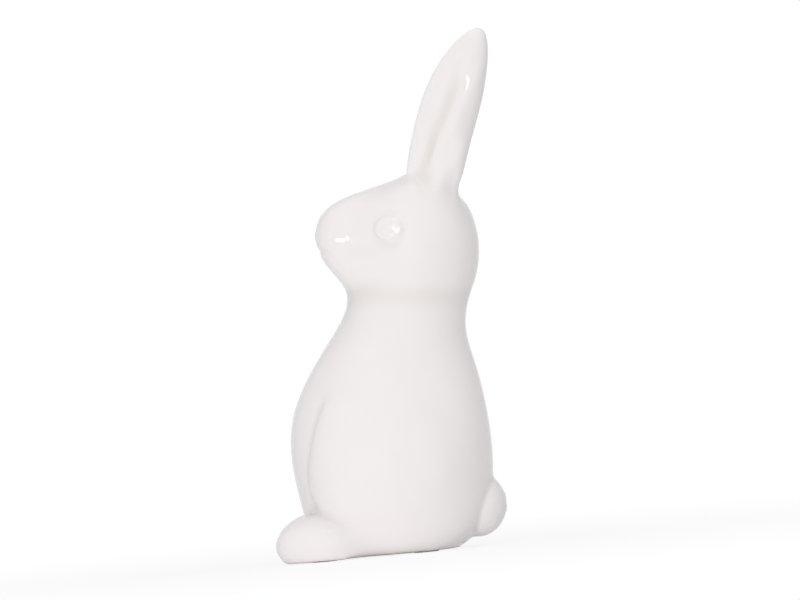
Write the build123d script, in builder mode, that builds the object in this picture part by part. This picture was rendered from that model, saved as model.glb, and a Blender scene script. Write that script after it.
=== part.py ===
"""Sitting rabbit figurine in glazed slip-cast ceramic, in millimetres.

The rabbit faces -Y, its left side is +X and it stands on the plane Z = 0.
Torso and head are hollow castings that meet at a collar in the neck. Ears and
tail are solid and have a round root in the casting, and haunches, feet and
eyes are luted onto its surface.
"""

import os
from math import cos, exp, pi, radians, sin, tan

from build123d import *

# Shell
WALL = 4.0
BASE_THICKNESS = 5.0
DRAIN_DIAMETER = 12.0
COLLAR_HEIGHT = 3.0
JOINT_CLEARANCE = 0.15

# Torso rings: height over the base, reach to the front and the back, half width
BASE_FRONT = 29.0
BASE_BACK = 21.0
BASE_HALF_WIDTH = 24.0
HEEL_HEIGHT = 5.0
HEEL_FRONT = 34.5
HEEL_BACK = 28.0
HEEL_HALF_WIDTH = 27.5
RUMP_HEIGHT = 17.0
RUMP_FRONT = 38.0
RUMP_BACK = 34.5
RUMP_HALF_WIDTH = 30.0
BELLY_HEIGHT = 38.0
BELLY_FRONT = 40.8
BELLY_BACK = 37.3
BELLY_HALF_WIDTH = 31.0
RIB_HEIGHT = 56.0
RIB_FRONT = 38.8
RIB_BACK = 36.2
RIB_HALF_WIDTH = 28.5
CHEST_HEIGHT = 70.0
CHEST_FRONT = 32.1
CHEST_BACK = 33.9
CHEST_HALF_WIDTH = 26.0
SHOULDER_HEIGHT = 84.0
SHOULDER_FRONT = 22.2
SHOULDER_BACK = 31.4
SHOULDER_HALF_WIDTH = 23.4
NECK_HEIGHT = 98.0
NECK_FRONT = 13.9
NECK_BACK = 34.5
NECK_HALF_WIDTH = 21.2

# Head rings: height over the neck joint, front and back edge, half width, widest place
THROAT_HEIGHT = 5.0
THROAT_FRONT = 13.9
THROAT_BACK = 36.7
THROAT_HALF_WIDTH = 21.6
JAW_HEIGHT = 12.0
JAW_FRONT = 18.0
JAW_BACK = 38.7
JAW_HALF_WIDTH = 23.0
LIP_HEIGHT = 20.0
LIP_FRONT = 22.6
LIP_BACK = 39.4
LIP_HALF_WIDTH = 24.0
NOSE_HEIGHT = 27.0
NOSE_FRONT = 23.4
NOSE_BACK = 38.6
NOSE_HALF_WIDTH = 23.8
BRIDGE_HEIGHT = 34.0
BRIDGE_FRONT = 21.6
BRIDGE_BACK = 36.3
BRIDGE_HALF_WIDTH = 22.2
BROW_HEIGHT = 39.0
BROW_FRONT = 16.0
BROW_BACK = 33.0
BROW_HALF_WIDTH = 20.0
FOREHEAD_HEIGHT = 43.5
FOREHEAD_FRONT = 2.5
FOREHEAD_BACK = 28.5
FOREHEAD_HALF_WIDTH = 17.0
TEMPLE_HEIGHT = 47.0
TEMPLE_FRONT = -10.5
TEMPLE_BACK = 22.5
TEMPLE_HALF_WIDTH = 12.0
CROWN_HEIGHT = 48.3
CROWN_FRONT = -15.2
CROWN_BACK = 18.5
CROWN_HALF_WIDTH = 7.0
CHEEK_PLACE = 16.0
MUZZLE_TAPER = 0.28

# Ears: distances run up the centre line, which leans and curls back from a root inside the crown
EAR_SINK = 9.5
EAR_PLACE = 22.4
EAR_SPREAD = 9.5
EAR_LEAN = 12.7
EAR_CURL = 18.7
EAR_SPLAY = 3.0
EAR_LENGTH = 68.6
EAR_ROOT_HALF_WIDTH = 10.9
EAR_HALF_WIDTH = 11.6
EAR_ROOT_THICKNESS = 11.5
EAR_THICKNESS = 10.6
EAR_WIDEST = 31.2
EAR_GROOVE = 1.7
EAR_GROOVE_HALF_WIDTH = 3.0
EAR_GROOVE_START = -6.5
EAR_GROOVE_END = 5.0
EAR_BACK_SWELL = 0.5
EAR_PEG_DIAMETER = 6.0
EAR_PEG_LENGTH = 7.0

# Haunches, feet and tail
HAUNCH_OUT = 11.6
HAUNCH_PLACE = -3.4
HAUNCH_HEIGHT = 31.5
HAUNCH_HALF_WIDTH = 23.8
HAUNCH_HALF_DEPTH = 31.8
HAUNCH_RISE = 48.0
HAUNCH_DROP = 30.0
FOOT_OUT = 17.0
FOOT_REACH = 49.8
FOOT_HALF_LENGTH = 21.0
FOOT_HALF_WIDTH = 12.5
FOOT_HALF_HEIGHT = 12.2
FOOT_HEIGHT = 6.5
TAIL_HEIGHT = 15.8
TAIL_SINK = 5.4
TAIL_HALF_WIDTH = 12.0
TAIL_HALF_DEPTH = 11.7
TAIL_HALF_HEIGHT = 12.8
TAIL_PEG_DIAMETER = 7.0
TAIL_PEG_LENGTH = 7.0

# Eyes
EYE_PLACE = 4.9
EYE_HEIGHT = 27.8
EYE_HALF_WIDTH = 6.0
EYE_HALF_HEIGHT = 4.9
EYE_BULGE = 1.0
EYE_EDGE = 0.9
EYE_SINK = 4.0

# Felt pads under the feet and the rump, each let into a shallow recess
PAD_DIAMETER = 10.0
PAD_THICKNESS = 1.0
PAD_RECESS = 0.6
PAD_FRONT_PLACE = -31.5
PAD_REAR_OUT = 13.0
PAD_REAR_PLACE = 8.0

# Points round a ring and an ear, rings on half an egg, and how blunt the ear's tip is
RING_STEPS = 16
EGG_STEPS = 4
EAR_STEPS = 20
EAR_TIP_POWER = 0.61
EAR_RINGS = (0, 0.2, 0.4, 0.6, 0.75, 0.87, 0.95, 0.99)

BASE = PAD_THICKNESS - PAD_RECESS
NECK = BASE + NECK_HEIGHT
CROWN = NECK + CROWN_HEIGHT

TORSO_RINGS = [
    (0, BASE_FRONT, BASE_BACK, BASE_HALF_WIDTH),
    (HEEL_HEIGHT, HEEL_FRONT, HEEL_BACK, HEEL_HALF_WIDTH),
    (RUMP_HEIGHT, RUMP_FRONT, RUMP_BACK, RUMP_HALF_WIDTH),
    (BELLY_HEIGHT, BELLY_FRONT, BELLY_BACK, BELLY_HALF_WIDTH),
    (RIB_HEIGHT, RIB_FRONT, RIB_BACK, RIB_HALF_WIDTH),
    (CHEST_HEIGHT, CHEST_FRONT, CHEST_BACK, CHEST_HALF_WIDTH),
    (SHOULDER_HEIGHT, SHOULDER_FRONT, SHOULDER_BACK, SHOULDER_HALF_WIDTH),
    (NECK_HEIGHT, NECK_FRONT, NECK_BACK, NECK_HALF_WIDTH),
]
FACE_RINGS = [
    (THROAT_HEIGHT, THROAT_FRONT, THROAT_BACK, THROAT_HALF_WIDTH),
    (JAW_HEIGHT, JAW_FRONT, JAW_BACK, JAW_HALF_WIDTH),
    (LIP_HEIGHT, LIP_FRONT, LIP_BACK, LIP_HALF_WIDTH),
    (NOSE_HEIGHT, NOSE_FRONT, NOSE_BACK, NOSE_HALF_WIDTH),
    (BRIDGE_HEIGHT, BRIDGE_FRONT, BRIDGE_BACK, BRIDGE_HALF_WIDTH),
]
DOME_RINGS = [
    (BROW_HEIGHT, BROW_FRONT, BROW_BACK, BROW_HALF_WIDTH),
    (FOREHEAD_HEIGHT, FOREHEAD_FRONT, FOREHEAD_BACK, FOREHEAD_HALF_WIDTH),
    (TEMPLE_HEIGHT, TEMPLE_FRONT, TEMPLE_BACK, TEMPLE_HALF_WIDTH),
    (CROWN_HEIGHT, CROWN_FRONT, CROWN_BACK, CROWN_HALF_WIDTH),
]


def ring_outline(front, back, half_width, widest, taper):
    """Points round an egg-shaped ring, from its back over its left side."""
    points = []
    for step in range(RING_STEPS):
        turn = 2 * pi * step / RING_STEPS
        reach = widest + front if cos(turn) < 0 else back - widest
        narrowing = taper * sin(2 * turn) ** 2 if cos(turn) < 0 else 0
        points.append((half_width * sin(turn) * (1 - narrowing), widest + reach * cos(turn)))
    return points


def ring_face(plane, front, back, half_width, widest=0, taper=0):
    """Closed face of one ring on its plane."""
    with BuildSketch(plane) as face:
        with BuildLine():
            Spline(*ring_outline(front, back, half_width, widest, taper), periodic=True)
        make_face()
    return face.sketch


def torso_face(ring, inset=0, lift=0):
    """Ring of the torso, drawn in by an inset."""
    height, front, back, half_width = ring
    widest = (back - front) / 2
    plane = Plane.XY.offset(BASE + height + lift)
    return ring_face(plane, front - inset, back - inset, half_width - inset, widest)


def head_face(ring, inset=0, lift=0):
    """Ring of the head: the throat is round, and the muzzle narrows above it."""
    height, front, back, half_width = ring
    share = min(height / LIP_HEIGHT, 1)
    neck_middle = (NECK_BACK - NECK_FRONT) / 2
    widest = neck_middle + (CHEEK_PLACE - neck_middle) * share
    plane = Plane.XY.offset(NECK + height + lift)
    return ring_face(plane, front - inset, back - inset, half_width - inset, widest, MUZZLE_TAPER * share)


def egg_rings(plane, half_width, half_depth, rise, drop):
    """Rings of an egg about its widest plane, whose X runs along the depth."""
    rings = []
    for step in range(-EGG_STEPS, EGG_STEPS + 1):
        turn = pi * step / (2 * EGG_STEPS + 1)
        side = half_width * cos(turn)
        height = sin(turn) * (rise if step > 0 else drop)
        rings.append(ring_face(plane.offset(height), side, side, half_depth * cos(turn)))
    return rings


def ear_plane(distance):
    """Plane square to the left ear's centre line, which is an arc."""
    start = radians(EAR_LEAN)
    bend = radians(EAR_CURL) / EAR_LENGTH
    lean = start + bend * distance
    back = (cos(start) - cos(lean)) / bend
    rise = (sin(lean) - sin(start)) / bend
    out = rise * tan(radians(EAR_SPLAY))
    middle = Plane((EAR_SPREAD + out, EAR_PLACE + back, CROWN - EAR_SINK + rise))
    return middle.rotated((-EAR_LEAN - EAR_CURL * distance / EAR_LENGTH, EAR_SPLAY, 0))


def ear_outline(distance):
    """Points round the ear: an ellipse with a groove along its outer face."""
    rise = min(distance / EAR_WIDEST, 1)
    fall = max((distance - EAR_WIDEST) / (EAR_LENGTH - EAR_WIDEST), 0)
    width = EAR_ROOT_HALF_WIDTH + (EAR_HALF_WIDTH - EAR_ROOT_HALF_WIDTH) * rise
    thickness = EAR_ROOT_THICKNESS + (EAR_THICKNESS - EAR_ROOT_THICKNESS) * rise
    taper = (1 - fall ** 2) ** EAR_TIP_POWER
    points = []
    for step in range(EAR_STEPS):
        turn = 2 * pi * step / EAR_STEPS
        across = width * taper * cos(turn)
        out = thickness / 2 * taper * sin(turn) * (1 + EAR_BACK_SWELL * cos(turn))
        if out > 0:
            drift = (EAR_GROOVE_END - EAR_GROOVE_START) * distance / EAR_LENGTH
            beside = across - EAR_GROOVE_START - drift
            out -= EAR_GROOVE * taper ** 2 * exp(-((beside / EAR_GROOVE_HALF_WIDTH) ** 2))
        points.append((out, across))
    return points


def seat_on_skin(place, height):
    """Plane that touches the left side of the skin, facing out."""
    hits = skin.part.find_intersection_points(Axis((0, place, height), (1, 0, 0)))
    point, normal = max(hits, key=lambda hit: hit[0].X)
    return Plane(point, x_dir=(0, 1, 0), z_dir=normal)


BASE_PLANE = Plane.XY.offset(BASE)
JOINT_PLANE = Plane.XY.offset(NECK)
TAIL_PEG_PLANE = Plane((0, RUMP_BACK - TAIL_PEG_LENGTH, BASE + TAIL_HEIGHT), z_dir=(0, 1, 0))
EAR_PEG_PLANE = ear_plane(EAR_SINK - EAR_PEG_LENGTH)
HAUNCH_PLANE = Plane((HAUNCH_OUT, HAUNCH_PLACE, BASE + HAUNCH_HEIGHT)).rotated((0, 0, 90))
FOOT_PLANE = Plane((FOOT_OUT, FOOT_HALF_LENGTH - FOOT_REACH, BASE + FOOT_HEIGHT), x_dir=(0, 1, 0))
TAIL_PLANE = Plane((0, RUMP_BACK - TAIL_SINK, BASE + TAIL_HEIGHT), x_dir=(-1, 0, 0))

# Outer skin and inner hollow, each one smooth loft from the base to the crown
with BuildPart() as left_skin:
    loft([torso_face(ring) for ring in TORSO_RINGS]
         + [head_face(ring) for ring in FACE_RINGS + DOME_RINGS])
    split(bisect_by=Plane.YZ, keep=Keep.TOP)

with BuildPart() as skin:
    add(left_skin.part)
    mirror(left_skin.part, about=Plane.YZ)

with BuildPart() as hollow:
    loft([torso_face(TORSO_RINGS[0], WALL, BASE_THICKNESS)]
         + [torso_face(ring, WALL) for ring in TORSO_RINGS[2:]]
         + [head_face(ring, WALL) for ring in FACE_RINGS[:-1]]
         + [head_face(ring, WALL / 2, -WALL) for ring in DOME_RINGS[:-1]])

EYE_PLANE = seat_on_skin(EYE_PLACE, NECK + EYE_HEIGHT)

# Ear: grooved blade cut to the crown, with its peg
with BuildPart() as left_ear:
    for share in EAR_RINGS:
        with BuildSketch(ear_plane(share * EAR_LENGTH)):
            with BuildLine():
                Spline(*ear_outline(share * EAR_LENGTH), periodic=True)
            make_face()
    loft()
    add(left_skin.part, mode=Mode.SUBTRACT)
    with BuildSketch(EAR_PEG_PLANE):
        Circle(EAR_PEG_DIAMETER / 2)
    extrude(amount=2 * EAR_PEG_LENGTH)

# Haunch: rounded thigh that swells from the side of the body
with BuildPart() as left_haunch:
    loft(egg_rings(HAUNCH_PLANE, HAUNCH_HALF_WIDTH, HAUNCH_HALF_DEPTH, HAUNCH_RISE, HAUNCH_DROP))
    split(bisect_by=BASE_PLANE, keep=Keep.TOP)
    add(left_skin.part, mode=Mode.SUBTRACT)
    split(bisect_by=Plane.YZ, keep=Keep.TOP)

# Foot: rounded lump with a flat sole, tucked under the haunch
with BuildPart() as left_foot:
    loft(egg_rings(FOOT_PLANE, FOOT_HALF_WIDTH, FOOT_HALF_LENGTH, FOOT_HALF_HEIGHT, FOOT_HALF_HEIGHT))
    split(bisect_by=BASE_PLANE, keep=Keep.TOP)
    add(left_skin.part, mode=Mode.SUBTRACT)
    add(left_haunch.part, mode=Mode.SUBTRACT)
    with BuildSketch(BASE_PLANE):
        with Locations((FOOT_OUT, PAD_FRONT_PLACE)):
            Circle(PAD_DIAMETER / 2 + JOINT_CLEARANCE)
    extrude(amount=PAD_RECESS, mode=Mode.SUBTRACT)

with BuildPart() as tail:
    loft(egg_rings(TAIL_PLANE, TAIL_HALF_DEPTH, TAIL_HALF_WIDTH, TAIL_HALF_HEIGHT, TAIL_HALF_HEIGHT))
    add(skin.part, mode=Mode.SUBTRACT)
    with BuildSketch(TAIL_PEG_PLANE):
        Circle(TAIL_PEG_DIAMETER / 2)
    extrude(amount=TAIL_PEG_LENGTH + TAIL_HALF_DEPTH - TAIL_SINK)

# Eye: low dome on the side of the head
with BuildPart() as left_eye:
    with BuildSketch(EYE_PLANE.offset(-EYE_SINK)):
        Ellipse(EYE_HALF_WIDTH, EYE_HALF_HEIGHT)
    extrude(amount=EYE_SINK + EYE_BULGE)
    fillet(left_eye.faces().sort_by(Axis(EYE_PLANE.origin, EYE_PLANE.z_dir))[-1].edges(), EYE_EDGE)
    add(left_skin.part, mode=Mode.SUBTRACT)

# Torso: hollow below the neck, with a collar that the head sits over
with BuildPart() as torso:
    add(skin.part)
    split(bisect_by=JOINT_PLANE, keep=Keep.BOTTOM)
    extrude(torso_face(TORSO_RINGS[-1], WALL / 2), COLLAR_HEIGHT)
    add(hollow.part, mode=Mode.SUBTRACT)
    with BuildSketch(BASE_PLANE):
        Circle(DRAIN_DIAMETER / 2)
    extrude(amount=BASE_THICKNESS, mode=Mode.SUBTRACT)
    with BuildSketch(BASE_PLANE):
        with Locations((PAD_REAR_OUT, PAD_REAR_PLACE)):
            Circle(PAD_DIAMETER / 2 + JOINT_CLEARANCE)
        mirror(about=Plane.YZ)
    extrude(amount=PAD_RECESS, mode=Mode.SUBTRACT)
    with BuildSketch(TAIL_PEG_PLANE):
        Circle(TAIL_PEG_DIAMETER / 2 + JOINT_CLEARANCE)
    extrude(amount=TAIL_PEG_LENGTH + TAIL_HALF_DEPTH, mode=Mode.SUBTRACT)

with BuildPart() as head:
    add(skin.part)
    split(bisect_by=JOINT_PLANE, keep=Keep.TOP)
    add(hollow.part, mode=Mode.SUBTRACT)
    extrude(torso_face(TORSO_RINGS[-1], WALL / 2 - JOINT_CLEARANCE),
            COLLAR_HEIGHT + JOINT_CLEARANCE, mode=Mode.SUBTRACT)
    with BuildSketch(EAR_PEG_PLANE):
        Circle(EAR_PEG_DIAMETER / 2 + JOINT_CLEARANCE)
    socket = extrude(amount=2 * EAR_PEG_LENGTH, mode=Mode.SUBTRACT)
    mirror(socket, about=Plane.YZ, mode=Mode.SUBTRACT)

with BuildPart() as right_ear:
    mirror(left_ear.part, about=Plane.YZ)

with BuildPart() as right_haunch:
    mirror(left_haunch.part, about=Plane.YZ)

with BuildPart() as right_foot:
    mirror(left_foot.part, about=Plane.YZ)

with BuildPart() as right_eye:
    mirror(left_eye.part, about=Plane.YZ)

with BuildPart() as felt_pads:
    with BuildSketch():
        with Locations((FOOT_OUT, PAD_FRONT_PLACE), (PAD_REAR_OUT, PAD_REAR_PLACE)):
            Circle(PAD_DIAMETER / 2)
        mirror(about=Plane.YZ)
    extrude(amount=PAD_THICKNESS)

PIECES = {
    "torso": torso,
    "head": head,
    "left_ear": left_ear,
    "right_ear": right_ear,
    "left_haunch": left_haunch,
    "right_haunch": right_haunch,
    "left_foot": left_foot,
    "right_foot": right_foot,
    "tail": tail,
    "left_eye": left_eye,
    "right_eye": right_eye,
    "felt_pads": felt_pads,
}

os.makedirs("parts", exist_ok=True)
for name, piece in PIECES.items():
    piece.part.label = name
    export_step(piece.part, f"parts/{name}.step")
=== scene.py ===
"""Sitting rabbit figurine in white glazed ceramic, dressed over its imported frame."""

import math

import bpy
import numpy as np
from mathutils import Matrix, Vector
from mathutils.bvhtree import BVHTree


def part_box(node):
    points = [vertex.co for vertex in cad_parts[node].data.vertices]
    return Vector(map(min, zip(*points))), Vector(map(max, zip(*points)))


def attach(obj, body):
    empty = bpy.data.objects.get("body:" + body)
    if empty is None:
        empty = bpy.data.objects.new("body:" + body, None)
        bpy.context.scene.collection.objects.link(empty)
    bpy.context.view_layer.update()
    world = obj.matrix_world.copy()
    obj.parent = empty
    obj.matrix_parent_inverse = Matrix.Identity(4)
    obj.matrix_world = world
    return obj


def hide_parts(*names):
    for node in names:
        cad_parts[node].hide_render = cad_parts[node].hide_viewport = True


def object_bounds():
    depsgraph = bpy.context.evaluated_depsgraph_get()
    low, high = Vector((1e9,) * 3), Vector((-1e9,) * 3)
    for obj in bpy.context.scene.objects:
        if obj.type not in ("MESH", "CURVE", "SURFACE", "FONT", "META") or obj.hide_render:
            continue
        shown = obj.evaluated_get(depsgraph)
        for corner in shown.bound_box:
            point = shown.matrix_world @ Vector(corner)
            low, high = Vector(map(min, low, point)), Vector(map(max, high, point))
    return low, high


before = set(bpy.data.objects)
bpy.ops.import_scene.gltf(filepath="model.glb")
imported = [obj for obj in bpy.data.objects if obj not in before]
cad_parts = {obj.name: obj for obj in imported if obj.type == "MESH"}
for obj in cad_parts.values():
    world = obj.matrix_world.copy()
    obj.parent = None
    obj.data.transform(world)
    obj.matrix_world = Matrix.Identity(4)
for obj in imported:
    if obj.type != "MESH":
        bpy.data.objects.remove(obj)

bl_info = {
    "name": "Glazed Rabbit Figurine",
    "version": (1, 0, 0),
    "blender": (4, 5, 0),
    "location": "View3D > Sidebar > Figurine",
    "description": "Models the glazed ceramic skin, felt dots and studio of a sitting rabbit figurine",
    "category": "Object",
}

MM = 0.001
CAD_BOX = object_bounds()
FIGURE_MIDDLE = (CAD_BOX[0] + CAD_BOX[1]) / 2
BASE_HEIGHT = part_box("torso")[0].z
BASE_SKIM = BASE_HEIGHT + 1 * MM

SKIN = "glazed_skin"
FELT_NODE = "felt_pads"
CLAY_NODES = (
    "torso", "head", "left_ear", "right_ear", "left_haunch", "right_haunch",
    "left_foot", "right_foot", "tail", "left_eye", "right_eye",
)

# Lamps: how far the soft lights stand off, and where in the glaze the small lamps glint
LAMP_DISTANCE = 1.2
MUZZLE_GLINT = (11.4 * MM, -14.6 * MM, 122.9 * MM)
EYE_GLINT = (23.7 * MM, 8.7 * MM, 124.6 * MM)
EAR_GLINT = (15.6 * MM, 41.3 * MM, 178.8 * MM)

# Floor: from where to where it pales to white, and how white it is beside the figure
FLOOR_NEAR = 0.06
FLOOR_FAR = 0.3
FLOOR_WHITE = 0.85

# Groove of the ears: how far back and how high it starts, how far it leans back, its length
GROOVE_FOOT = (18.4 * MM, BASE_HEIGHT + 142 * MM)
GROOVE_LEAN = 0.46
GROOVE_LENGTH = 54 * MM
GROOVE_FADE = 9 * MM

# Ears: front of their roots, length of the notch there, and the curl of their back edges
EAR_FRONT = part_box("left_ear")[0].y
EAR_NOTCH_LENGTH = 8 * MM
EAR_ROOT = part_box("head")[1].z + 2 * MM
EAR_STEP = 1 * MM
EAR_FIRST_RING = 8
EAR_BLEND = 13 * MM
EAR_REACH = 13 * MM

# Mouth: how soon its line fades, and the upper lip over it
MOUTH_TIP_LENGTH = 2 * MM
LIP_RISE = 5.5 * MM
LIP_WIDTH = 3 * MM

# Pooled glaze and painted shade: hollow that the darker tint fills, and the fall and depth of the painted
# shade under the head at the neck joint to the back
POOL_AND_SHADE_DEPTH = 0.03 * MM
POOL_AND_SHADE_ROUNDS = 12
NECK_SLOPE = 0.096
NECK_SHADE = 0.4

# Flanks behind the haunches: middle and reach of their swell, and width at which it is full
FLANK_BACK = 24 * MM
FLANK_REACH = 12 * MM
FLANK_HEIGHT = BASE_HEIGHT + 34 * MM
FLANK_RISE = 22 * MM
FLANK_OUT = 20 * MM

# Creases: where the haunches run out into the back and the top, and where the feet turn their corner
CREASE_BACK = -14 * MM
CREASE_BACK_FADE = 13 * MM
CREASE_TOP = BASE_HEIGHT + 70 * MM
CREASE_TOP_FADE = 10 * MM
FOOT_BEND = -30 * MM
FOOT_BEND_REACH = 6 * MM

# Rounds of evening out: the skin itself, and the borders between its pieces
SKIN_ROUNDS = 6
BORDER_ROUNDS = 6

# Felt: mesh spacing, size of the tufts and how far they sink
FELT_GRAIN = 0.2 * MM
TUFT_SIZE = 0.6 * MM
TUFT_DEPTH = 0.08 * MM

# Dry foot: how squarely a face looks down and how low it lies to stay bare
FOOT_FACING = -0.9
FOOT_TOP = BASE_HEIGHT + 0.5 * MM


def linear(hex_colour):
    """Linear RGBA of an sRGB hex colour."""
    parts = [int(hex_colour[i:i + 2], 16) / 255 for i in (0, 2, 4)]
    return (*[p / 12.92 if p <= 0.04045 else ((p + 0.055) / 1.055) ** 2.4 for p in parts], 1.0)


def length(name, description, default):
    """A size in metres that a user would change."""
    return bpy.props.FloatProperty(name=name, description=description, default=default,
                                   unit="LENGTH", precision=5)


def power(name, description, watts):
    """The power of a lamp in watts."""
    return bpy.props.FloatProperty(name=name, description=description, default=watts, unit="POWER")


def colour(name, description, hex_colour):
    """A colour that a user would change."""
    return bpy.props.FloatVectorProperty(name=name, description=description, subtype="COLOR", size=4,
                                         min=0, max=1, default=linear(hex_colour))


class RabbitSkin(bpy.types.PropertyGroup):
    """Sizes of the glazed skin."""

    grain: length("Grain", "Mesh spacing of the skin", 0.7 * MM)
    wall: length("Wall", "Thickness of the hollow casting", 4 * MM)
    # Painted shade: the neck line and band set a darker band under the head at the neck, painted as if glaze
    # had pooled there
    neck_shade_line: length("Neck line", "Height of the glaze that pooled at the neck", BASE_HEIGHT + 99.8 * MM)
    neck_shade_band: length("Neck band", "Width of the glaze that pooled at the neck", 4.6 * MM)
    ear_curl: length("Ear curl", "How far the ears' back edges curl towards each other", 4.2 * MM)
    flank_swell: length("Flank swell", "How much fuller the flanks are behind the haunches", 3.4 * MM)
    small_wall: length("Small wall", "Thickness of the small pieces' skin", 1.6 * MM)
    drain: length("Drain", "Diameter of the drain hole in the base", 12 * MM)
    neck_fillet: length("Neck fillet", "Width of the glazed joint at the neck", 3 * MM)
    ear_fillet: length("Ear fillet", "Width of the glazed joint at the ear roots", 9 * MM)
    ear_notch: length("Ear notch", "Width of the joint in front of the ears", 1.4 * MM)
    haunch_crease: length("Haunch crease", "Width of the joint in front of the haunches", 2.2 * MM)
    haunch_blend: length("Haunch blend", "Width over which a haunch runs out into the back", 16 * MM)
    haunch_ease: length("Haunch ease", "Swell over which a haunch rises from the back", 2 * MM)
    haunch_puff: length("Haunch puff", "How much fuller a haunch is behind its crease", 1.0 * MM)
    haunch_edge: length("Haunch edge", "Swell at which a haunch is fullest", 1.2 * MM)
    foot_fillet: length("Foot fillet", "Width of the glazed joint beside the feet", 7 * MM)
    foot_corner: length("Foot corner", "Width of the joint between feet and belly", 1.6 * MM)
    tail_fillet: length("Tail fillet", "Width of the glazed joint round the tail", 2 * MM)
    eye_fillet: length("Eye fillet", "Width of the glazed joint round the eyes", 1.5 * MM)


class RabbitFace(bpy.types.PropertyGroup):
    """Places and depths of the ears' grooves, the mouth line, the lips and the eyes."""

    groove_depth: length("Groove depth", "How much deeper the ears' grooves are pressed", 0.5 * MM)
    groove_width: length("Groove width", "Half the width of the ears' grooves", 2 * MM)
    mouth_height: length("Mouth height", "Height of the mouth line at the muzzle's tip",
                         BASE_HEIGHT + 119.2 * MM)
    mouth_tip: length("Mouth tip", "Where the muzzle's tip lies", -22.5 * MM)
    mouth_end: length("Mouth end", "How far back the mouth line runs", -16 * MM)
    mouth_depth: length("Mouth depth", "Depth of the mouth line", 0.6 * MM)
    mouth_width: length("Mouth width", "Width of the mouth line", 1.1 * MM)
    lip_swell: length("Lip swell", "How far the upper lip stands out", 0.5 * MM)
    lip_end: length("Lip end", "How far back the upper lip runs", -4 * MM)
    mouth_fall: bpy.props.FloatProperty(name="Mouth fall", description="Slope of the mouth line to the back",
                                        default=0.3)
    eye_dome: length("Eye dome", "How much an eye rises to its middle", 0.5 * MM)
    pupil_place: length("Pupil place", "Where the pupil's dimple lies from front to back", 7.2 * MM)
    pupil_height: length("Pupil height", "Height of the pupil's dimple", BASE_HEIGHT + 125 * MM)
    pupil_depth: length("Pupil depth", "Depth of the pupil's dimple", 0.45 * MM)
    pupil_width: length("Pupil width", "Reach of the pupil's dimple", 1.7 * MM)


class RabbitFinish(bpy.types.PropertyGroup):
    """Colours of the materials."""

    glaze: colour("Glaze", "White glaze on the open surface", "F3EFEE")
    # Darker tint of pooled glaze; it also paints the shade in creases and under the head at the neck
    pooled_and_shade: colour("Pooled glaze", "Thicker glaze in the creases", "E3DDDA")
    bisque: colour("Bisque", "Bare fired clay", "E3DCCF")
    felt: colour("Felt", "Pressed wool felt", "D6D2C8")
    floor: colour("Floor", "Pale floor", "F4F4F4")


class RabbitStudio(bpy.types.PropertyGroup):
    """Camera and light."""

    aim: bpy.props.FloatVectorProperty(name="Aim", description="Point at the picture's centre",
                                       default=(0, 6.8 * MM, 98.0 * MM), subtype="TRANSLATION",
                                       unit="LENGTH")
    distance: length("Distance", "Camera distance", 3.2)
    lens: bpy.props.FloatProperty(name="Lens", description="Focal length in millimetres", default=370.3)
    azimuth: bpy.props.FloatProperty(name="Azimuth", description="Camera turn about the figure",
                                     default=math.radians(90), subtype="ANGLE")
    elevation: bpy.props.FloatProperty(name="Elevation", description="Camera height angle",
                                       default=math.radians(0.3), subtype="ANGLE")
    roll: bpy.props.FloatProperty(name="Roll", description="Tilt of the picture",
                                  default=math.radians(5.3), subtype="ANGLE")
    front_power: power("Front", "Wide soft light beside the camera", 7.5)
    left_power: power("Left", "Soft light before the rabbit's face", 1.7)
    right_power: power("Right", "Soft light over the rabbit's back", 3.2)
    top_power: power("Top", "Soft light overhead", 5.1)
    glint_glow: bpy.props.FloatProperty(
        name="Glints", description="How bright the small lamps are that glint on the muzzle, eye and ear",
        default=600, min=0)
    ambient: bpy.props.FloatProperty(name="Ambient", description="Light from the white room", default=0.2)


def settings(name):
    """One of the figurine's property groups."""
    return getattr(bpy.context.scene, name)


def deselect():
    """Leave edit mode and select nothing."""
    if bpy.context.object and bpy.context.object.mode != "OBJECT":
        bpy.ops.object.mode_set(mode="OBJECT")
    bpy.ops.object.select_all(action="DESELECT")


def activate(obj):
    """Make one object the only selected and active one."""
    deselect()
    obj.select_set(True)
    bpy.context.view_layer.objects.active = obj


def apply_modifier(obj, kind, **values):
    """Add a modifier with its settings and apply it."""
    activate(obj)
    modifier = obj.modifiers.new(kind.title(), kind)
    for key, value in values.items():
        setattr(modifier, key, value)
    bpy.ops.object.modifier_apply(modifier=modifier.name)


def welded_copy(node):
    """Copy of a CAD node with its loose triangles merged."""
    copy = bpy.data.objects.new(node + "_copy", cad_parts[node].data.copy())
    bpy.context.scene.collection.objects.link(copy)
    activate(copy)
    bpy.ops.object.mode_set(mode="EDIT")
    bpy.ops.mesh.select_all(action="SELECT")
    bpy.ops.mesh.remove_doubles(threshold=0.001 * MM)
    bpy.ops.object.mode_set(mode="OBJECT")
    return copy


def read(items, name, columns=1, kind=np.int32):
    """One value, or one row of values, of each item in a mesh's list."""
    values = np.empty(len(items) * columns, kind)
    items.foreach_get(name, values)
    return values.reshape(-1, columns) if columns > 1 else values


def coordinates(mesh):
    """Vertex places of a mesh as an array."""
    return read(mesh.vertices, "co", 3, np.float32).astype(float)


def normals(mesh):
    """Vertex normals of a mesh as an array."""
    return read(mesh.vertex_normals, "vector", 3, np.float32).astype(float)


def place_vertices(mesh, places):
    """Write vertex places back to a mesh."""
    mesh.vertices.foreach_set("co", places.astype(np.float32).ravel())
    mesh.update()


def edge_ends(mesh):
    """Vertex pairs of a mesh's edges."""
    return read(mesh.edges, "vertices", 2)


def surface_tree(mesh):
    """Search tree of a mesh's surface."""
    return BVHTree.FromPolygons([v.co for v in mesh.vertices], [p.vertices for p in mesh.polygons])


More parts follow.
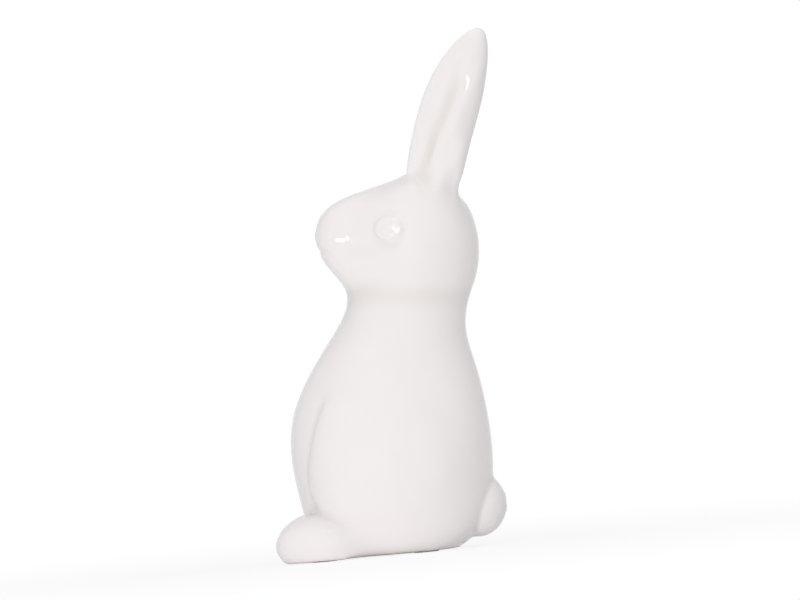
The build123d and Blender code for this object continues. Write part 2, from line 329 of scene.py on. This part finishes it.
def neighbour_mean(values, ends):
    """Mean of each vertex's neighbours, for one or more columns of values."""
    count = np.bincount(ends.ravel(), minlength=len(values))
    mean = np.empty_like(values)
    for column in range(values.shape[1]):
        total = np.bincount(ends[:, 0], values[ends[:, 1], column], len(values))
        total += np.bincount(ends[:, 1], values[ends[:, 0], column], len(values))
        mean[:, column] = total / np.maximum(count, 1)
    return mean


def smooth_step(low, high, values):
    """Soft step from 0 at low to 1 at high."""
    share = np.clip((values - low) / (high - low), 0, 1)
    return share * share * (3 - 2 * share)


def distances(places, copies):
    """Distance of each place to each clay node, as one column per node."""
    columns = []
    for copy in copies:
        tree = surface_tree(copy.data)
        columns.append([tree.find_nearest(place)[3] for place in places])
    return np.array(columns).T


def weight_group(obj, name, weights, levels=16):
    """Vertex group with weights in a few even steps."""
    group = obj.vertex_groups.new(name=name)
    steps = np.round(weights * levels).astype(int)
    for step in range(1, levels + 1):
        group.add(np.nonzero(steps == step)[0].tolist(), step / levels, "REPLACE")


def soften_joint(obj, name, near, width, share=1):
    """Let the glaze flow over a joint by smoothing the skin near it, over one or many widths."""
    weights = share * (1 - smooth_step(0.25, 1, near / width))
    weight_group(obj, name, weights)
    steps = np.max(width) / settings("rabbit_skin").grain
    apply_modifier(obj, "SMOOTH", factor=0.5, iterations=max(2, int(steps ** 2)), vertex_group=name)


class FIGURINE_OT_skin(bpy.types.Operator):
    """Flow one glazed skin over all the luted clay pieces"""

    bl_idname = "figurine.skin"
    bl_label = "Glazed Skin"

    def execute(self, context):
        sizes = settings("rabbit_skin")
        copies = [welded_copy(node) for node in CLAY_NODES]
        deselect()
        bpy.ops.mesh.primitive_cylinder_add(radius=sizes.drain / 2 + sizes.grain, depth=sizes.wall,
                                            location=(0, 0, BASE_HEIGHT + sizes.wall / 2))
        plug = context.object
        skin = bpy.data.objects.new(SKIN, copies[0].data.copy())
        context.scene.collection.objects.link(skin)
        parts = [bpy.data.objects.new("part", copy.data.copy()) for copy in copies[1:]]
        for part in parts:
            context.scene.collection.objects.link(part)
        activate(skin)
        for part in parts + [plug]:
            part.select_set(True)
        bpy.ops.object.join()
        apply_modifier(skin, "REMESH", mode="VOXEL", voxel_size=sizes.grain, adaptivity=0)
        gaps = distances(coordinates(skin.data), copies)
        nearest = {node: gaps[:, i] for i, node in enumerate(CLAY_NODES)}
        body = np.minimum(nearest["torso"], nearest["head"])
        self.label_pieces(skin, gaps)
        self.run_out_haunches(skin, copies[0])
        place_vertices(skin.data, self.shaped(coordinates(skin.data)))
        apply_modifier(skin, "SMOOTH", factor=0.5, iterations=SKIN_ROUNDS)
        soften_joint(skin, "neck", np.maximum(nearest["torso"], nearest["head"]), sizes.neck_fillet)
        back = coordinates(skin.data)[:, 1]
        faded = self.fading(coordinates(skin.data))
        ear_width = sizes.ear_notch + (sizes.ear_fillet - sizes.ear_notch) * smooth_step(
            EAR_FRONT, EAR_FRONT + EAR_NOTCH_LENGTH, back)
        foot_width = sizes.foot_corner + (sizes.foot_fillet - sizes.foot_corner) * smooth_step(
            FOOT_BEND - FOOT_BEND_REACH, FOOT_BEND + FOOT_BEND_REACH, back)
        for side in ("left", "right"):
            haunch = nearest[side + "_haunch"]
            foot = nearest[side + "_foot"]
            soften_joint(skin, side + "_ear", np.maximum(nearest[side + "_ear"], nearest["head"]), ear_width)
            soften_joint(skin, side + "_thigh", np.maximum(haunch, body), sizes.haunch_blend, faded)
            soften_joint(skin, side + "_crease", np.maximum(haunch, body), sizes.haunch_crease, 1 - faded)
            soften_joint(skin, side + "_foot", np.maximum(foot, np.minimum(haunch, body)), foot_width)
            soften_joint(skin, side + "_eye", np.maximum(nearest[side + "_eye"], nearest["head"]),
                         sizes.eye_fillet)
        soften_joint(skin, "tail", np.maximum(nearest["tail"], body), sizes.tail_fillet)
        for copy in copies:
            bpy.data.objects.remove(copy)
        return {"FINISHED"}

    def run_out_haunches(self, skin, torso):
        """Keep the crease in front of each haunch and run its top and back out into the body."""
        sizes = settings("rabbit_skin")
        places = coordinates(skin.data)
        labels = read(skin.data.attributes["piece"].data, "value")
        haunches = np.isin(labels, [CLAY_NODES.index("left_haunch"), CLAY_NODES.index("right_haunch")])
        corners = read(skin.data.loops, "vertex_index")
        sides = read(skin.data.polygons, "loop_total")
        chosen = np.unique(corners[np.repeat(haunches, sides)])
        tree = surface_tree(torso.data)
        under = np.array([tree.find_nearest(place)[0] for place in places[chosen]])
        swell = places[chosen] - under
        height = np.linalg.norm(swell, axis=1)
        faded = self.fading(places[chosen])
        eased = smooth_step(0, sizes.haunch_ease, height)
        puffed = 1 + sizes.haunch_puff / sizes.haunch_edge * np.exp(1 - height / sizes.haunch_edge)
        share = faded * eased + (1 - faded) * puffed
        places[chosen] = under + swell * share[:, None]
        place_vertices(skin.data, places)

    def shaped(self, places):
        """Places with the ears' back edges curled in and the flanks filled out."""
        sizes = settings("rabbit_skin")
        side = np.sign(places[:, 0])
        back, height = places[:, 1], places[:, 2]
        flank = np.exp(-((back - FLANK_BACK) / FLANK_REACH) ** 2
                       - ((height - FLANK_HEIGHT) / FLANK_RISE) ** 2)
        outward = sizes.flank_swell * flank * np.clip(np.abs(places[:, 0]) / FLANK_OUT, 0, 1)
        beside = np.clip(back - self.ear_middle(back, height), 0, None) / EAR_REACH
        outward -= sizes.ear_curl * smooth_step(0, EAR_BLEND, height - EAR_ROOT) * beside ** 2
        places[:, 0] += side * outward
        return places

    def ear_middle(self, back, height):
        """How far back the middle of the ears is at each height, as a smooth line through their rings."""
        level = np.round((height - EAR_ROOT) / EAR_STEP).astype(int)
        steps = range(EAR_FIRST_RING, level.max() + 1)
        middles = [(back[level == step].min() + back[level == step].max()) / 2 for step in steps]
        line = np.polyfit([step * EAR_STEP for step in steps], middles, 3)
        return np.polyval(line, height - EAR_ROOT)

    def fading(self, places):
        """1 where a haunch runs out into the body, 0 along the crease in front of it."""
        return np.maximum(smooth_step(CREASE_BACK - CREASE_BACK_FADE, CREASE_BACK, places[:, 1]),
                          smooth_step(CREASE_TOP - CREASE_TOP_FADE, CREASE_TOP, places[:, 2]))

    def label_pieces(self, skin, gaps):
        """Mark each face with the clay piece that it belongs to."""
        ends = edge_ends(skin.data)
        for _ in range(BORDER_ROUNDS):
            gaps = 0.5 * gaps + 0.5 * neighbour_mean(gaps, ends)
        corners = read(skin.data.loops, "vertex_index")
        starts = read(skin.data.polygons, "loop_start")
        labels = np.argmin(np.add.reduceat(gaps[corners], starts, axis=0), axis=1)
        attribute = skin.data.attributes.new("piece", "INT", "FACE")
        attribute.data.foreach_set("value", labels.astype(np.int32))


class FIGURINE_OT_face(bpy.types.Operator):
    """Press in the mouth line and the ears' grooves, swell the upper lip and dome the eyes"""

    bl_idname = "figurine.face"
    bl_label = "Mouth and Eyes"

    def execute(self, context):
        mesh = bpy.data.objects[SKIN].data
        places = coordinates(mesh)
        facing = normals(mesh)
        move = self.mouth(places) + self.eyes(places) + self.grooves(places, facing)
        place_vertices(mesh, places + facing * move[:, None])
        return {"FINISHED"}

    def mouth(self, places):
        """Outward moves of the mouth line and the lip over it."""
        sizes = settings("rabbit_face")
        back = places[:, 1]
        rise = places[:, 2] - sizes.mouth_height + sizes.mouth_fall * (back - sizes.mouth_tip)
        line = np.exp(-(rise / sizes.mouth_width) ** 2)
        line *= 1 - smooth_step(sizes.mouth_tip + MOUTH_TIP_LENGTH, sizes.mouth_end, back)
        lip = np.exp(-((rise - LIP_RISE) / LIP_WIDTH) ** 2)
        lip *= 1 - smooth_step(sizes.mouth_tip, sizes.lip_end, back)
        return sizes.lip_swell * lip - sizes.mouth_depth * line

    def grooves(self, places, facing):
        """Moves that press the groove deeper down the outer side of each ear."""
        sizes = settings("rabbit_face")
        rise = places[:, 2] - GROOVE_FOOT[1]
        beside = places[:, 1] - GROOVE_FOOT[0] - GROOVE_LEAN * rise
        shown = smooth_step(0, GROOVE_FADE, rise) * smooth_step(0, GROOVE_FADE, GROOVE_LENGTH - rise)
        outer = np.clip(np.sign(places[:, 0]) * facing[:, 0], 0, 1)
        return -sizes.groove_depth * np.exp(-(beside / sizes.groove_width) ** 2) * shown * outer

    def eyes(self, places):
        """Outward moves of the eyes' domes and the pupils' dimples."""
        sizes = settings("rabbit_face")
        low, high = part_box("left_eye")
        across = (places[:, 1] - (low.y + high.y) / 2) / ((high.y - low.y) / 2)
        up = (places[:, 2] - (low.z + high.z) / 2) / ((high.z - low.z) / 2)
        dome = sizes.eye_dome * np.clip(1 - across ** 2 - up ** 2, 0, 1)
        beside = np.hypot(places[:, 1] - sizes.pupil_place, places[:, 2] - sizes.pupil_height)
        return dome - sizes.pupil_depth * np.exp(-(beside / sizes.pupil_width) ** 2)


def add_node(tree, kind, inputs=None, **values):
    """Add a shader node, set its values and link or set its inputs."""
    node = tree.nodes.new(kind)
    for key, value in values.items():
        setattr(node, key, value)
    for key, value in (inputs or {}).items():
        if isinstance(value, bpy.types.NodeSocket):
            tree.links.new(value, node.inputs[key])
        else:
            node.inputs[key].default_value = value
    return node


def new_material(name):
    """Empty node material and its tree."""
    material = bpy.data.materials.new(name)
    material.use_nodes = True
    material.node_tree.nodes.clear()
    return material, material.node_tree


def glaze_material():
    """Opaque white gloss glaze, dipped and fired: a bright even white under a thin
    glassy skin that waves a little, and turns a shade warmer and darker where it pooled; that darker tint is
    also painted shade in the creases and under the head at the neck."""
    name = "white_gloss_glaze"
    if name in bpy.data.materials:
        return bpy.data.materials[name]
    finish = settings("rabbit_finish")
    material, tree = new_material(name)
    place = add_node(tree, "ShaderNodeTexCoord").outputs["Object"]
    # Clouding about 14 mm across, waves about 5 mm across
    cloud = add_node(tree, "ShaderNodeTexNoise", {"Vector": place, "Scale": 1 / (14 * MM), "Detail": 2.0})
    wave = add_node(tree, "ShaderNodeTexNoise", {"Vector": place, "Scale": 1 / (5 * MM), "Detail": 1.0})
    # Darker tint from pooled glaze and painted shade in hollows and under the head, with a little random
    # clouding
    pool_and_shade = add_node(tree, "ShaderNodeAttribute", attribute_name="pool_and_shade")
    amount = add_node(tree, "ShaderNodeMath", {0: cloud.outputs["Fac"], 1: 0.12, 2: pool_and_shade.outputs["Fac"]},
                      operation="MULTIPLY_ADD", use_clamp=True)
    tint = add_node(tree, "ShaderNodeMix", {"Factor": amount.outputs[0], "A": finish.glaze[:],
                                            "B": finish.pooled_and_shade[:]}, data_type="RGBA")
    gloss = add_node(tree, "ShaderNodeMapRange", {"Value": cloud.outputs["Fac"], "To Min": 0.06,
                                                  "To Max": 0.11})
    ripple = add_node(tree, "ShaderNodeBump", {"Height": wave.outputs["Fac"], "Strength": 0.12,
                                               "Distance": 0.12 * MM})
    surface = add_node(tree, "ShaderNodeBsdfPrincipled", {
        "Base Color": tint.outputs["Result"], "Roughness": gloss.outputs["Result"],
        "IOR": 1.5, "Normal": ripple.outputs["Normal"]})
    add_node(tree, "ShaderNodeOutputMaterial", {"Surface": surface.outputs["BSDF"]})
    return material


def bisque_material():
    """Bare fired earthenware on the foot and inside: matt, warm and slightly sandy."""
    name = "bare_bisque_clay"
    if name in bpy.data.materials:
        return bpy.data.materials[name]
    finish = settings("rabbit_finish")
    material, tree = new_material(name)
    place = add_node(tree, "ShaderNodeTexCoord").outputs["Object"]
    # Grit about 0.6 mm across, blotches about 9 mm across
    grit = add_node(tree, "ShaderNodeTexNoise", {"Vector": place, "Scale": 1 / (0.6 * MM), "Detail": 3.0})
    blotch = add_node(tree, "ShaderNodeTexNoise", {"Vector": place, "Scale": 1 / (9 * MM), "Detail": 2.0})
    shade = [0.86 * c for c in finish.bisque[:3]] + [1.0]
    tint = add_node(tree, "ShaderNodeMix", {"Factor": blotch.outputs["Fac"], "A": finish.bisque[:],
                                            "B": shade}, data_type="RGBA")
    rough = add_node(tree, "ShaderNodeBump", {"Height": grit.outputs["Fac"], "Strength": 0.5,
                                              "Distance": 0.1 * MM})
    surface = add_node(tree, "ShaderNodeBsdfPrincipled", {
        "Base Color": tint.outputs["Result"], "Roughness": 0.85, "IOR": 1.5,
        "Normal": rough.outputs["Normal"]})
    add_node(tree, "ShaderNodeOutputMaterial", {"Surface": surface.outputs["BSDF"]})
    return material


def felt_material():
    """Pressed wool felt: matt, soft and mottled with short crossing fibres."""
    finish = settings("rabbit_finish")
    material, tree = new_material("pressed_wool_felt")
    place = add_node(tree, "ShaderNodeTexCoord").outputs["Object"]
    # Fibre tufts about 0.5 mm across
    fibre = add_node(tree, "ShaderNodeTexNoise", {"Vector": place, "Scale": 1 / (0.5 * MM), "Detail": 4.0,
                                                  "Distortion": 1.5})
    shade = [0.7 * c for c in finish.felt[:3]] + [1.0]
    tint = add_node(tree, "ShaderNodeMix", {"Factor": fibre.outputs["Fac"], "A": shade,
                                            "B": finish.felt[:]}, data_type="RGBA")
    nap = add_node(tree, "ShaderNodeBump", {"Height": fibre.outputs["Fac"], "Strength": 0.8,
                                            "Distance": 0.15 * MM})
    surface = add_node(tree, "ShaderNodeBsdfPrincipled", {
        "Base Color": tint.outputs["Result"], "Roughness": 0.95, "IOR": 1.45,
        "Sheen Weight": 0.3, "Normal": nap.outputs["Normal"]})
    add_node(tree, "ShaderNodeOutputMaterial", {"Surface": surface.outputs["BSDF"]})
    return material


def store_skin_looks(mesh):
    """Keep the whole skin's normals, and where glaze pools and shade is painted in the hollows and under the
    head, before the pieces come apart.
    """
    ends = edge_ends(mesh)
    directions = normals(mesh)
    places = coordinates(mesh)
    # Hollows get a darker tint: partly pooled glaze, partly painted shade in the creases
    hollow = np.einsum("ij,ij->i", neighbour_mean(places, ends) - places, directions)[:, None]
    for _ in range(POOL_AND_SHADE_ROUNDS):
        hollow = neighbour_mean(hollow, ends)
    sizes = settings("rabbit_skin")
    # Painted shade: a darker band under the head along the neck joint
    below = (places[:, 2] - sizes.neck_shade_line + NECK_SLOPE * places[:, 1]) / sizes.neck_shade_band
    pool_and_shade = np.clip(hollow[:, 0] / POOL_AND_SHADE_DEPTH + NECK_SHADE * np.exp(-below ** 2), 0, 1)
    attribute = mesh.attributes.new("pool_and_shade", "FLOAT", "POINT")
    attribute.data.foreach_set("value", pool_and_shade.astype(np.float32))
    attribute = mesh.attributes.new("skin_normal", "FLOAT_VECTOR", "POINT")
    attribute.data.foreach_set("vector", directions.astype(np.float32).ravel())


def keep_faces(obj, keep):
    """Delete the faces that aren't kept."""
    activate(obj)
    obj.data.polygons.foreach_set("select", ~keep)
    for domain in (obj.data.edges, obj.data.vertices):
        domain.foreach_set("select", np.zeros(len(domain), bool))
    bpy.context.tool_settings.mesh_select_mode = (False, False, True)
    bpy.ops.object.mode_set(mode="EDIT")
    bpy.ops.mesh.delete(type="FACE")
    bpy.ops.object.mode_set(mode="OBJECT")
    if len(obj.data.polygons) != np.count_nonzero(keep):
        raise RuntimeError(f"{obj.name} lost faces that it should keep")


def face_middles(mesh):
    """Middle of each face."""
    return read(mesh.polygons, "center", 3, np.float32).astype(float)


def face_normals(mesh):
    """Normal of each face."""
    return read(mesh.polygons, "normal", 3, np.float32).astype(float)


def drill_drain(obj):
    """Open the round drain hole in the base."""
    sizes = settings("rabbit_skin")
    radius = sizes.drain / 2
    middles = face_middles(obj.data)
    hole = (np.hypot(middles[:, 0], middles[:, 1]) < radius) & (middles[:, 2] < BASE_SKIM)
    keep_faces(obj, ~hole)
    places = coordinates(obj.data)
    reach = np.hypot(places[:, 0], places[:, 1])
    rim = (np.abs(reach - radius) < sizes.grain) & (places[:, 2] < BASE_SKIM)
    places[rim, :2] *= (radius / reach[rim])[:, None]
    place_vertices(obj.data, places)


def straighten_drain(mesh, wall):
    """Stand the drain hole's wall upright between the base and the hollow."""
    places = coordinates(mesh)
    outside, inside = np.split(places, 2)
    near = np.hypot(outside[:, 0], outside[:, 1]) < settings("rabbit_skin").drain
    near &= outside[:, 2] < BASE_SKIM
    inside[near] = outside[near] + (0, 0, wall)
    place_vertices(mesh, np.concatenate([outside, inside]))


def take_piece(node, wall, drain=False):
    """Cut one clay piece out of the glazed skin and give it its wall."""
    skin = bpy.data.objects[SKIN]
    piece = bpy.data.objects.new("glazed_" + node, skin.data.copy())
    bpy.context.scene.collection.objects.link(piece)
    labels = read(piece.data.attributes["piece"].data, "value")
    keep_faces(piece, labels == CLAY_NODES.index(node))
    if drain:
        drill_drain(piece)
    mesh = piece.data
    mesh.materials.clear()
    mesh.materials.append(glaze_material())
    mesh.materials.append(bisque_material())
    skin_faces = len(mesh.polygons)
    apply_modifier(piece, "SOLIDIFY", thickness=wall, offset=-1, use_even_offset=False,
                   material_offset=1, material_offset_rim=1)
    if drain:
        straighten_drain(piece.data, wall)
    dress_normals(piece.data, skin_faces)
    dry_foot(piece.data)
    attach(piece, "root")
    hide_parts(node)


def take_pair(kind):
    """Cut the left and the right piece of a kind out of the skin."""
    for side in ("left", "right"):
        take_piece(side + "_" + kind, settings("rabbit_skin").small_wall)


def dress_normals(mesh, skin_faces):
    """Shade the outside with the whole skin's normals, so that no joint shows."""
    mesh.polygons.foreach_set("use_smooth", np.ones(len(mesh.polygons), bool))
    stored = read(mesh.attributes["skin_normal"].data, "vector", 3, np.float32)
    corners = read(mesh.loops, "vertex_index")
    directions = stored[corners]
    starts = read(mesh.polygons, "loop_start")
    inside = starts[skin_faces] if skin_faces < len(starts) else len(corners)
    directions[inside:] = 0
    mesh.normals_split_custom_set(directions.tolist())
    mesh.attributes.remove(mesh.attributes["skin_normal"])
    mesh.attributes.remove(mesh.attributes["piece"])


def dry_foot(mesh):
    """Leave the flat underside bare of glaze."""
    down = face_normals(mesh)[:, 2] < FOOT_FACING
    low = face_middles(mesh)[:, 2] < FOOT_TOP
    slots = read(mesh.polygons, "material_index")
    slots[down & low] = 1
    mesh.polygons.foreach_set("material_index", slots)


class FIGURINE_OT_torso(bpy.types.Operator):
    """Cut the hollow torso out of the skin, with its dry foot and drain hole"""

    bl_idname = "figurine.torso"
    bl_label = "Torso"

    def execute(self, context):
        store_skin_looks(bpy.data.objects[SKIN].data)
        take_piece("torso", settings("rabbit_skin").wall, drain=True)
        return {"FINISHED"}


class FIGURINE_OT_head(bpy.types.Operator):
    """Cut the hollow head out of the skin"""

    bl_idname = "figurine.head"
    bl_label = "Head"

    def execute(self, context):
        take_piece("head", settings("rabbit_skin").wall)
        return {"FINISHED"}


class FIGURINE_OT_ears(bpy.types.Operator):
    """Cut both ears out of the skin"""

    bl_idname = "figurine.ears"
    bl_label = "Ears"

    def execute(self, context):
        take_pair("ear")
        return {"FINISHED"}


class FIGURINE_OT_haunches(bpy.types.Operator):
    """Cut both haunches out of the skin"""

    bl_idname = "figurine.haunches"
    bl_label = "Haunches"

    def execute(self, context):
        take_pair("haunch")
        return {"FINISHED"}


class FIGURINE_OT_feet(bpy.types.Operator):
    """Cut both hind feet out of the skin"""

    bl_idname = "figurine.feet"
    bl_label = "Feet"

    def execute(self, context):
        take_pair("foot")
        return {"FINISHED"}


class FIGURINE_OT_tail(bpy.types.Operator):
    """Cut the tail out of the skin"""

    bl_idname = "figurine.tail"
    bl_label = "Tail"

    def execute(self, context):
        take_piece("tail", settings("rabbit_skin").small_wall)
        return {"FINISHED"}


class FIGURINE_OT_eyes(bpy.types.Operator):
    """Cut both eyes out of the skin, which is then used up"""

    bl_idname = "figurine.eyes"
    bl_label = "Eyes"

    def execute(self, context):
        take_pair("eye")
        bpy.data.objects.remove(bpy.data.objects[SKIN])
        return {"FINISHED"}


class FIGURINE_OT_felt(bpy.types.Operator):
    """Make the felt dots under the figure, with soft uneven edges"""

    bl_idname = "figurine.felt"
    bl_label = "Felt Dots"

    def execute(self, context):
        dots = welded_copy(FELT_NODE)
        dots.name = "felt_dots"
        apply_modifier(dots, "REMESH", mode="VOXEL", voxel_size=FELT_GRAIN, adaptivity=0)
        apply_modifier(dots, "SMOOTH", factor=0.5, iterations=3)
        tufts = bpy.data.textures.new("felt_tufts", "CLOUDS")
        tufts.noise_scale = TUFT_SIZE
        apply_modifier(dots, "DISPLACE", texture=tufts, strength=TUFT_DEPTH, mid_level=1.0,
                       texture_coords="LOCAL")
        activate(dots)
        bpy.ops.object.shade_smooth()
        dots.data.materials.clear()
        dots.data.materials.append(felt_material())
        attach(dots, "root")
        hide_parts(FELT_NODE)
        return {"FINISHED"}


def seen_rays(tree):
    """1 for rays that see the backdrop as it is: camera, glossy and transmission rays."""
    path = add_node(tree, "ShaderNodeLightPath")
    first = add_node(tree, "ShaderNodeMath", {0: path.outputs["Is Camera Ray"],
                                              1: path.outputs["Is Glossy Ray"]}, operation="MAXIMUM")
    return add_node(tree, "ShaderNodeMath", {0: first.outputs[0], 1: path.outputs["Is Transmission Ray"]},
                    operation="MAXIMUM").outputs[0]


def floor_material():
    """Pale matt paper that turns pure white away from the figure and keeps its shadow."""
    material, tree = new_material("pale_paper_floor")
    place = add_node(tree, "ShaderNodeTexCoord").outputs["Object"]
    reach = add_node(tree, "ShaderNodeVectorMath", {0: place}, operation="LENGTH")
    away = add_node(tree, "ShaderNodeMapRange", {
        "Value": reach.outputs["Value"], "From Min": FLOOR_NEAR, "From Max": FLOOR_FAR,
        "To Min": FLOOR_WHITE, "To Max": 1.0})
    share = add_node(tree, "ShaderNodeMath", {0: away.outputs["Result"], 1: seen_rays(tree)},
                     operation="MULTIPLY")
    paper = add_node(tree, "ShaderNodeBsdfDiffuse", {"Color": settings("rabbit_finish").floor[:]})
    white = add_node(tree, "ShaderNodeEmission", {"Color": (1, 1, 1, 1), "Strength": 1.0})
    mixed = add_node(tree, "ShaderNodeMixShader", {0: share.outputs[0], 1: paper.outputs[0],
                                                   2: white.outputs[0]})
    add_node(tree, "ShaderNodeOutputMaterial", {"Surface": mixed.outputs[0]})
    return material


def aim(obj, place, target):
    """Put a lamp or camera at a place, looking at a target."""
    obj.location = place
    obj.rotation_euler = (Vector(target) - Vector(place)).to_track_quat("-Z", "Y").to_euler()


def lamp_place(turn, height, distance, target):
    """Place of a lamp: degrees to the camera's left, degrees up and metres away from its target."""
    turn = math.radians(turn)
    height = math.radians(height)
    return Vector(target) + distance * Vector((math.cos(turn) * math.cos(height),
                                               -math.sin(turn) * math.cos(height), math.sin(height)))


def soft_box(name, turn, height, width, depth, watts):
    """Rectangular soft light, kept out of the glaze's reflections by its diffuser."""
    bpy.ops.object.light_add(type="AREA")
    lamp = bpy.context.object
    lamp.name = name
    lamp.data.shape = "RECTANGLE"
    lamp.data.size = width
    lamp.data.size_y = depth
    lamp.data.energy = watts
    lamp.visible_glossy = False
    aim(lamp, lamp_place(turn, height, LAMP_DISTANCE, FIGURE_MIDDLE), FIGURE_MIDDLE)


def glint_lamp(name, turn, height, distance, spread, target, glow):
    """Small shaded lamp close to the figure: it only glints in the glaze round its target."""
    bpy.ops.object.light_add(type="SPOT")
    lamp = bpy.context.object
    lamp.name = name
    lamp.data.spot_size = math.radians(spread)
    lamp.data.spot_blend = 0
    lamp.data.shadow_soft_size = distance * math.tan(math.radians(spread) / 2)
    lamp.data.energy = glow * lamp.data.shadow_soft_size ** 2
    lamp.visible_diffuse = False
    lamp.visible_camera = False
    aim(lamp, lamp_place(turn, height, distance, target), target)


class FIGURINE_OT_studio(bpy.types.Operator):
    """Set up the pale floor, white backdrop, soft lights and camera"""

    bl_idname = "figurine.studio"
    bl_label = "Studio"

    def execute(self, context):
        studio = settings("rabbit_studio")
        deselect()
        bpy.ops.mesh.primitive_plane_add(size=8)
        floor = context.object
        floor.name = "floor"
        floor.data.materials.append(floor_material())
        target = Vector(studio.aim)
        soft_box("front_light", 11, 4, 0.75, 0.34, studio.front_power)
        soft_box("left_light", 90, 16, 0.7, 0.7, studio.left_power)
        soft_box("right_light", -90, 45, 0.7, 0.7, studio.right_power)
        soft_box("top_light", 0, 89, 0.9, 0.9, studio.top_power)
        glint_lamp("muzzle_glint", 38, 5, 20 * MM, 13, MUZZLE_GLINT, studio.glint_glow)
        glint_lamp("eye_glint", 43, 2, 8 * MM, 24, EYE_GLINT, studio.glint_glow)
        glint_lamp("ear_glint", 0, 11, 25 * MM, 8, EAR_GLINT, studio.glint_glow)
        self.world(context, studio.ambient)
        self.camera(context, studio, target)
        context.scene.view_settings.view_transform = "Standard"
        return {"FINISHED"}

    def world(self, context, ambient):
        """White room: pure white where it is seen, a plain level where it lights."""
        world = bpy.data.worlds.new("white_room")
        world.use_nodes = True
        tree = world.node_tree
        tree.nodes.clear()
        strength = add_node(tree, "ShaderNodeMapRange", {"Value": seen_rays(tree), "To Min": ambient,
                                                         "To Max": 1.0})
        back = add_node(tree, "ShaderNodeBackground", {"Color": (1, 1, 1, 1),
                                                       "Strength": strength.outputs["Result"]})
        add_node(tree, "ShaderNodeOutputWorld", {"Surface": back.outputs[0]})
        context.scene.world = world

    def camera(self, context, studio, target):
        """Long lens at the photograph's angle and tilt."""
        away = Vector((math.sin(studio.azimuth) * math.cos(studio.elevation),
                       -math.cos(studio.azimuth) * math.cos(studio.elevation),
                       math.sin(studio.elevation)))
        bpy.ops.object.camera_add()
        camera = context.object
        camera.data.lens = studio.lens
        camera.data.clip_end = 20
        aim(camera, target + away * studio.distance, target)
        turned = camera.rotation_euler.to_matrix() @ Matrix.Rotation(-studio.roll, 3, "Z")
        camera.rotation_euler = turned.to_euler()
        context.scene.camera = camera


class FIGURINE_PT_panel(bpy.types.Panel):
    """Lists the figurine's steps in the order they are made"""

    bl_idname = "FIGURINE_PT_panel"
    bl_label = "Rabbit Figurine"
    bl_space_type = "VIEW_3D"
    bl_region_type = "UI"
    bl_category = "Figurine"

    def draw(self, context):
        for operator in OPERATORS:
            self.layout.operator(operator.bl_idname)


GROUPS = {
    "rabbit_skin": RabbitSkin,
    "rabbit_face": RabbitFace,
    "rabbit_finish": RabbitFinish,
    "rabbit_studio": RabbitStudio,
}
OPERATORS = (
    FIGURINE_OT_skin,
    FIGURINE_OT_face,
    FIGURINE_OT_torso,
    FIGURINE_OT_head,
    FIGURINE_OT_ears,
    FIGURINE_OT_haunches,
    FIGURINE_OT_feet,
    FIGURINE_OT_tail,
    FIGURINE_OT_eyes,
    FIGURINE_OT_felt,
    FIGURINE_OT_studio,
)


def register():
    for name, group in GROUPS.items():
        bpy.utils.register_class(group)
        setattr(bpy.types.Scene, name, bpy.props.PointerProperty(type=group))
    for cls in OPERATORS + (FIGURINE_PT_panel,):
        bpy.utils.register_class(cls)


def unregister():
    for cls in reversed(OPERATORS + (FIGURINE_PT_panel,)):
        bpy.utils.unregister_class(cls)
    for name, group in reversed(GROUPS.items()):
        delattr(bpy.types.Scene, name)
        bpy.utils.unregister_class(group)


def main():
    register()
    for operator in OPERATORS:
        group, name = operator.bl_idname.split(".")
        getattr(getattr(bpy.ops, group), name)()


if __name__ == "__main__":
    main()
